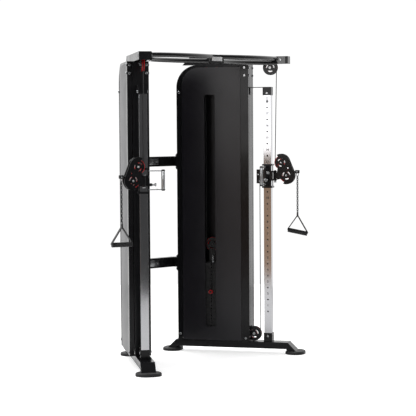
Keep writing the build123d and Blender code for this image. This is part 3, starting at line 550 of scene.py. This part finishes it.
def cable_end(side, matrix):
    """The stopper and its cross pin."""
    disc = [(STOPPER_AT, 0), (STOPPER_AT, STOPPER_R - 3), (STOPPER_AT + 2, STOPPER_R), (STOPPER_BODY, STOPPER_R),
            (STOPPER_BODY, 0)]
    shape = Shape().turned((0, 0, STOPPER_Z), (1, 0, 0), disc, 0, 48)
    cheek = [(STOPPER_BODY - 1, STOPPER_Z - CHEEK_HALF)]
    for hand, start in ((-1, -90), (1, 0)):
        corner = (STOPPER_END - CHEEK_ROUND, STOPPER_Z + hand * (CHEEK_HALF - CHEEK_ROUND))
        cheek += arc(corner, CHEEK_ROUND, start, start + 90, 5)
    cheek.append((STOPPER_BODY - 1, STOPPER_Z + CHEEK_HALF))
    for low, high in ((-CHEEK_OUT, -CHEEK_IN), (CHEEK_IN, CHEEK_OUT)):
        shape.plate(cheek, low, high)
    shape.turned((HANG_AT, -12, STOPPER_Z), (0, 1, 0), rod(2.9, 24), 1, 24)
    for hand in (-1, 1):
        shape.turned((HANG_AT, hand * (CHEEK_OUT - 0.1), STOPPER_Z), (0, hand, 0), dome(4.6, 2.6), 1, 24)
    thing = shape.piece("stopper_" + side, matrix, [MATERIALS["stopper_rubber"], MATERIALS["zinc"]],
                        "cable_end_" + side, "stopper_rubber", bevel=0.25, smooth=24)
    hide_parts("cable_end_" + side)


# Snap hook, chain and strap handle

HOOK_SPAN, HOOK_TOP_R, HOOK_FOOT_R, HOOK_WIRE = 27, 5.6, 7.2, 2.4
CHAIN_TOP, LINK_PITCH, LINK_WIRE, LINK_BEND, LINK_TURN = 1288.0, 15.5, 2.5, 5.4, 42
GRIPS = {"r": (886.0, 11.0), "l": (869.0, 0.0)}  # height, and tilt nose down in degrees
APEX_ABOVE, STRAP_HALF, WEB_HALF = 138.0, 15.0, 2.1
RING_R, RING_WIRE = 5.4, 1.9
GRIP_HALF, GRIP_R, GRIP_BORE, GRIP_RIM, RIBS, RIB_DEEP = 71.0, 16.5, 10, 6, 22, 1.3


def hanging(side, matrix):
    """The snap hook, and a chain whose links stand across one another."""
    top, foot = (HANG_AT, STOPPER_Z), (HANG_AT, STOPPER_Z - HOOK_SPAN)
    loop = arc(top, HOOK_TOP_R, 6, 174, 14) + arc(foot, HOOK_FOOT_R, 186, 354, 22)
    hook = Shape().tube([(u, 0, z) for u, z in loop], HOOK_WIRE, closed=True)
    hook.turned((HANG_AT - 6.4, 0, STOPPER_Z - 22), (0.03, 0, 1), rod(3.3, 14, 1, 0.3), 0, 20)
    hook.piece("carabiner_" + side, matrix, [MATERIALS["zinc"]], "handle_" + side, "zinc", smooth=50)

    chain = Shape()
    span = CHAIN_TOP - GRIPS[side][0] - APEX_ABOVE
    links = round(span / LINK_PITCH)
    pitch = span / links
    straight = (pitch + 2 * LINK_WIRE) / 2 - LINK_BEND
    loop = [(x, z + straight) for x, z in arc((0, 0), LINK_BEND, 0, 180, 8)]
    loop += [(x, z - straight) for x, z in arc((0, 0), LINK_BEND, 180, 360, 8)]
    for k in range(links):
        middle = CHAIN_TOP - (k + 0.5) * pitch
        turn = math.radians(LINK_TURN if k % 2 else -LINK_TURN)
        link = [(HANG_AT + x * math.cos(turn), x * math.sin(turn), middle + z) for x, z in loop]
        chain.tube(link, LINK_WIRE, sides=8, closed=True)
    thing = chain.piece("chain_" + side, matrix, [CHAIN], "handle_" + side, "zinc", smooth=60)
    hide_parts("handle_chain_" + side)


def strap_handle(side, matrix):
    """A webbing triangle sewn round a ring at its apex, and a ribbed grip between its feet."""
    grip_z, tilt = GRIPS[side][0], math.radians(GRIPS[side][1])
    apex_z = grip_z + APEX_ABOVE
    level = (math.cos(tilt), -math.sin(tilt))

    def spot(out, rise):
        return (HANG_AT + out * level[0] - rise * level[1], grip_z + out * level[1] + rise * level[0])

    strap = Shape()
    for hand in (-1, 1):
        foot = [spot(hand * (GRIP_HALF + 1.8), rise) for rise in (9, 6, 3)]
        foot += [spot(hand * (GRIP_HALF + 0.6), 0.5), spot(hand * (GRIP_HALF - 6), 0)]
        top = Vector((HANG_AT + hand * 2.2, apex_z - 22))
        path = [Vector((HANG_AT + hand * 1.5, apex_z + 1))]
        path += [top.lerp(Vector(foot[0]), k / 10) for k in range(11)] + [Vector(point) for point in foot[1:]]
        loops = []
        for k, point in enumerate(path):
            way = (path[min(k + 1, len(path) - 1)] - path[max(k - 1, 0)]).normalized()
            half = Vector((-way.y, way.x)) * WEB_HALF
            a, b = point + half, point - half
            loops.append([(a.x, -STRAP_HALF, a.y), (a.x, STRAP_HALF, a.y),
                          (b.x, STRAP_HALF, b.y), (b.x, -STRAP_HALF, b.y)])
        strap.rings(loops)
    neck = [(-3.4, -30), (3.4, -30), (3, -6), (-3, -6)]
    strap.plate([(HANG_AT + u, apex_z + z) for u, z in neck], -STRAP_HALF - 0.4, STRAP_HALF + 0.4)
    ring = arc((HANG_AT, apex_z + 1), RING_R, 0, 337.5, 15)
    strap.tube([(u, 0, z) for u, z in ring], RING_WIRE, 1, closed=True)
    thing = strap.piece("strap_" + side, matrix, [MATERIALS["webbing"], MATERIALS["zinc"]], "handle_" + side,
                        "webbing", bevel=0.3)
    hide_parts("strap_handle_" + side)

    rim = [(0, GRIP_BORE), (0, GRIP_R - 0.6), (1, GRIP_R), (4.4, GRIP_R), (5.2, GRIP_R - 0.8)]
    profile = [(along - GRIP_HALF, radius) for along, radius in rim]
    pitch = 2 * (GRIP_HALF - GRIP_RIM) / RIBS
    for k in range(RIBS):
        start = GRIP_RIM - GRIP_HALF + k * pitch
        profile += [(start + 0.3, GRIP_R - RIB_DEEP), (start + 1.5, GRIP_R - RIB_DEEP), (start + 2.1, GRIP_R),
                    (start + pitch - 0.6, GRIP_R)]
    profile += [(GRIP_HALF - along, radius) for along, radius in reversed(rim)]
    grip = Shape().turned((HANG_AT, 0, grip_z), (level[0], 0, level[1]), profile, 0, 44)
    grip.piece("grip_" + side, matrix, [GRIP_RUBBER], "handle_" + side, "webbing", smooth=30)


# Details on the carriage, the pop pin and the column

LUG_BOLT = (5, -34, 1314)
SWIVEL_FOOT, SWIVEL_HEAD = (52, 0, 1241.5), (52, 0, 1326)
ANCHOR_U = -62
GRAB_U, GRAB_W, GRAB_FOOT, GRAB_LONG = -18, -138, 1229, 125.5
GRAB_RODS, GRAB_ROD_LONG = (1228.5, 1355.0), 96
GRAB_CAPS = ((1230, -1), (1353.5, 1))  # where each end cap starts, and which way it points
CAP_PROFILE = [(0, 0), (0, 12.6), (0.8, 13.6), (4, 13.8), (7, 12.6), (9.4, 9.6), (10.6, 5), (10.8, 0)]
NUT_PROFILE = [(0, 0), (0, 8), (4.6, 8), (5.4, 7.2), (5.4, 0)]
POP_PIN_AT = (0, -27.9, 1262)
POP_BODY = [(0, 0), (0, 6.9), (8, 6.9), (8, 10), (9, 10.4), (30, 10.4), (32, 9.6), (32, 0)]
POP_KNOB = [(30, 0), (30, 9.8), (33, 9.8), (34, 7), (44, 6.4), (52, 9.2), (54, 11.6), (57, 12.9), (59, 12.6),
            (60, 10.5), (60, 0)]


def carriage_details(side, tower):
    """Bolts, grab handle and pop pin."""
    body = "carriage_" + side
    bright = Shape()
    u, w, z = LUG_BOLT
    bright.turned(LUG_BOLT, (0, -1, 0), rod(12.4, 1.6), 0, 40)
    bright.turned((u, w - 1.4, z), (0, -1, 0), dome(11.2, 7), 0, 40)
    bright.turned(SWIVEL_FOOT, UP, rod(9.4, 8.4, 0.8, 0.8), 0, 40)
    bright.turned(SWIVEL_HEAD, UP, dome(8.4, 6), 0, 40)
    for hand in (-1, 1):
        bright.turned((ANCHOR_U, hand * 12, 1252), (0, hand, 0), dome(7.5, 4.4), 0, 6)
    bright.turned((ANCHOR_U, 0, 1233), UP, rod(5.6, 19, 1, 0.6), 0, 28)
    bright.piece("carriage_bolts_" + side, tower, [MATERIALS["zinc"]], body, "zinc", bevel=0.25)

    handle = Shape()
    for z in GRAB_RODS:
        handle.turned((GRAB_U, -33, z), (0, -1, 0), rod(4.3, GRAB_ROD_LONG), 0, 24)
        handle.turned((GRAB_U, -34.2, z), (0, -1, 0), NUT_PROFILE, 0, 6)
    handle.turned((GRAB_U, GRAB_W, GRAB_FOOT), UP, rod(12.5, GRAB_LONG, 1, 0.3), 0, 44)
    for z, way in GRAB_CAPS:
        handle.turned((GRAB_U, GRAB_W, z), (0, 0, way), CAP_PROFILE, 1, 44)
    handle.piece("grab_handle_" + side, tower, [GREY_TUBE, MATERIALS["stopper_rubber"]], body, "zinc", smooth=40)

    pin = Shape().turned(POP_PIN_AT, (0, -1, 0), POP_BODY, 0, 6)
    pin.turned(POP_PIN_AT, (0, -1, 0), POP_KNOB, 1, 44)
    thing = pin.piece("pull_knob_" + side, tower, [MATERIALS["foot_rubber"], MATERIALS["zinc"]], "pop_pin_" + side,
                      "zinc", bevel=0.3)
    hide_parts("pop_pin_" + side)


NUMBER_TALL, NUMBER_HEAVY, NUMBER_RISE, PRINT_PROUD = 22.0, 0.7, 0.42, 0.12  # the rise is in hole pitches
HOLE_FIRST, HOLE_PITCH, HOLE_COUNT, COLUMN_HALF = 305.0, 87.0, 18, 27.5


def column_numbers(side, tower):
    """Small printed numbers between the holes on the column's inner face."""
    points, faces = [], []
    for k in range(HOLE_COUNT):
        text = bpy.data.curves.new("number", "FONT")
        text.body = str(k + 1)
        text.size = NUMBER_TALL
        text.align_x = "CENTER"
        text.offset = NUMBER_HEAVY
        probe = bpy.data.objects.new("number", text)
        bpy.context.scene.collection.objects.link(probe)
        bpy.context.view_layer.update()
        mesh = bpy.data.meshes.new_from_object(probe.evaluated_get(bpy.context.evaluated_depsgraph_get()))
        first = len(points)
        low = HOLE_FIRST + (k + NUMBER_RISE) * HOLE_PITCH
        points += [(HANDS[side] * v.co.x, -COLUMN_HALF - PRINT_PROUD, low + v.co.y) for v in mesh.vertices]
        faces += [[first + i for i in face.vertices] for face in mesh.polygons]
        bpy.data.objects.remove(probe)
        bpy.data.meshes.remove(mesh)
        bpy.data.curves.remove(text)
    Shape().add(points, faces).piece("column_numbers_" + side, tower, [PRINT], "frame", "chrome")


# Plain plates on the pull-up bar and the cross members: heights in metres, the rest in millimetres

BADGE_Z, BADGE_HALF, BADGE_RISE, BADGE_CORNER, BAR_PLATE_HALF = 2.116, 46.0, 14.0, 3.0, 13.0
JOINT_PLATES = (("low", 0.653), ("high", 1.396))
PLATE_HALF, PLATE_RISE, PLATE_PROUD, PLATE_BOLTS = 56, 23, 4, (-38, 0, 38)
CROSSBAR_DEEP = 0.04  # metres


def badge():
    """A plain plate on the middle of the pull-up bar."""
    gap = next(opening for opening in frame["record"]["physics"]["openings"] if opening["name"] == "bar_gap_r")
    low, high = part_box("pull_up_bar")
    centre = Vector(((low[0] + high[0]) / 2, (gap["box_m"][0][1] + gap["box_m"][1][1]) / 2, BADGE_Z))
    loop = []
    for k, (u, z) in enumerate(((1, -1), (1, 1), (-1, 1), (-1, -1))):
        corner = (u * (BADGE_HALF - BADGE_CORNER), z * (BADGE_RISE - BADGE_CORNER))
        loop += arc(corner, BADGE_CORNER, 90 * k - 90, 90 * k, 5)
    matrix = Matrix.Translation(centre) @ Matrix.Diagonal((MM, MM, MM, 1))
    shape = Shape().plate(loop, -BAR_PLATE_HALF - 6, -BAR_PLATE_HALF + 0.5)
    shape.piece("bar_badge", matrix, [BADGE], "frame", "chrome", bevel=0.3)


def joint_plates():
    """A bolted plate on the middle of each bar between the towers."""
    low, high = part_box("crossbars")
    outline = [(u * PLATE_HALF, z * PLATE_RISE) for u, z in ((-1, -1), (1, -1), (1, 1), (-1, 1))]
    for name, z in JOINT_PLATES:
        centre = ((low[0] + high[0]) / 2, high[1] - CROSSBAR_DEEP, z)
        matrix = Matrix.Translation(centre) @ Matrix.Diagonal((MM, MM, MM, 1))
        shape = Shape().plate(outline, -PLATE_PROUD, 0.3)
        for u in PLATE_BOLTS:
            shape.turned((u, -PLATE_PROUD, 0), (0, -1, 0), dome(8, 5), 0, 32)
        shape.piece("joint_plate_" + name, matrix, [MATERIALS["zinc"]], "frame", "zinc", bevel=0.6, smooth=24)


badge()
joint_plates()
for side in HANDS:
    tower, swing = tower_frame(side), arm_frame(side)
    tower_cables(side, tower)
    lanyard(side, tower)
    selector_pin(side, tower)
    arm(side, swing)
    cable_end(side, swing)
    hanging(side, swing)
    strap_handle(side, swing)
    carriage_details(side, tower)
    column_numbers(side, tower)


# Floor, studio and light

FLOOR_R, FLOOR_SIDES, FLOOR_GLOW = 5.0, 96, 0.62
WARM, WARM_WAY = (0.42, 0.28, 0.19), (-0.952, -0.306, 0)
HORIZON_DIM, HORIZON_BRIGHT, SURROUND_WHITE = 0.07, 1.0, 1.05
HORIZON_FADE, GROUND_FADE, WARM_FADE = (-0.2, 0.5), (0.0, 0.05), (0.88, 0.95)  # cosines where a fade starts and ends
SOFTBOXES = (  # name, place, aim, width, height, watts
    ("overhead", (0.0, 2.6, 5.2), (0, 0, 0.5), 4.0, 4.0, 260),
    ("left", (-6.5, 0.5, 3.2), (0, 0, 1.1), 2.5, 2.5, 150),
    ("front", (-1.5, -7.0, 3.4), (0, 0, 1.1), 2.0, 2.0, 80),
    ("strip", (-4.2, -1.5, 2.4), (0.5, 0.0, 1.9), 2.0, 2.1, 27),
)


def pale_floor():
    """A round pale floor that glows only where the camera looks at it straight."""
    floor = bpy.data.meshes.new("floor")
    ring = [(x, y, 0) for x, y in arc((0, 0), FLOOR_R, 0, 360 - 360 / FLOOR_SIDES, FLOOR_SIDES - 1)]
    floor.from_pydata(ring, [], [tuple(range(len(ring)))])
    thing = bpy.data.objects.new("floor", floor)
    paint = surface("floor_paint", (0.78, 0.78, 0.78), 0.6, tint=0.01, bump=0.01, edge=0,
                    Emission_Color=(1, 1, 1, 1))
    tree = paint.node_tree
    glow = tree.nodes.new("ShaderNodeMath")
    glow.operation = "MULTIPLY"
    glow.inputs[1].default_value = FLOOR_GLOW
    tree.links.new(tree.nodes.new("ShaderNodeLightPath").outputs["Is Camera Ray"], glow.inputs[0])
    tree.links.new(glow.outputs["Value"], tree.nodes["Principled BSDF"].inputs["Emission Strength"])
    floor.materials.append(paint)
    bpy.context.scene.collection.objects.link(thing)


def surround():
    """Plain white to the camera. What the object reflects is bright behind it, and warm low on one side."""
    world = bpy.data.worlds.new("studio")
    bpy.context.scene.world = world
    world.use_nodes = True
    tree = world.node_tree
    shell = tree.nodes["Background"]
    shell.inputs["Strength"].default_value = 1.0
    way = tree.nodes.new("ShaderNodeTexCoord").outputs["Generated"]

    def fade(direction, span, first=0.0, last=1.0):
        along = tree.nodes.new("ShaderNodeVectorMath")
        along.operation = "DOT_PRODUCT"
        along.inputs[1].default_value = direction
        tree.links.new(way, along.inputs[0])
        ramp = tree.nodes.new("ShaderNodeMapRange")
        ramp.inputs["From Min"].default_value = span[0]
        ramp.inputs["From Max"].default_value = span[1]
        ramp.inputs["To Min"].default_value = first
        ramp.inputs["To Max"].default_value = last
        tree.links.new(along.outputs["Value"], ramp.inputs["Value"])
        return ramp.outputs["Result"]

    blend = tree.nodes.new("ShaderNodeMix")  # its colour sockets: in 0 factor, 6 first, 7 second, out 2
    blend.data_type = "RGBA"
    blend.inputs[7].default_value = (*WARM, 1)
    tree.links.new(fade(level_view, HORIZON_FADE, HORIZON_DIM, HORIZON_BRIGHT), blend.inputs[6])
    both = tree.nodes.new("ShaderNodeMath")
    both.operation = "MULTIPLY"
    tree.links.new(fade(-UP, GROUND_FADE), both.inputs[0])
    tree.links.new(fade(WARM_WAY, WARM_FADE), both.inputs[1])
    tree.links.new(both.outputs["Value"], blend.inputs[0])
    tree.links.new(blend.outputs[2], shell.inputs["Color"])
    plain_white = tree.nodes.new("ShaderNodeBackground")
    plain_white.inputs["Color"].default_value = (1, 1, 1, 1)
    plain_white.inputs["Strength"].default_value = SURROUND_WHITE
    seen = tree.nodes.new("ShaderNodeLightPath")
    mix = tree.nodes.new("ShaderNodeMixShader")
    tree.links.new(seen.outputs["Is Camera Ray"], mix.inputs["Fac"])
    tree.links.new(shell.outputs["Background"], mix.inputs[1])
    tree.links.new(plain_white.outputs["Background"], mix.inputs[2])
    tree.links.new(mix.outputs["Shader"], tree.nodes["World Output"].inputs["Surface"])


def softbox(name, at, aim, wide, tall, power):
    """A rectangular area light turned towards its aim."""
    lamp = bpy.data.lights.new(name, "AREA")
    lamp.shape = "RECTANGLE"
    lamp.size, lamp.size_y = wide, tall
    lamp.energy = power
    thing = bpy.data.objects.new(name, lamp)
    way = (Vector(aim) - Vector(at)).normalized()
    thing.matrix_world = Matrix.Translation(at) @ way.to_track_quat("-Z", "Y").to_matrix().to_4x4()
    bpy.context.scene.collection.objects.link(thing)


pale_floor()
surround()
for row in SOFTBOXES:
    softbox(*row)
bpy.context.scene.view_settings.view_transform = "Standard"
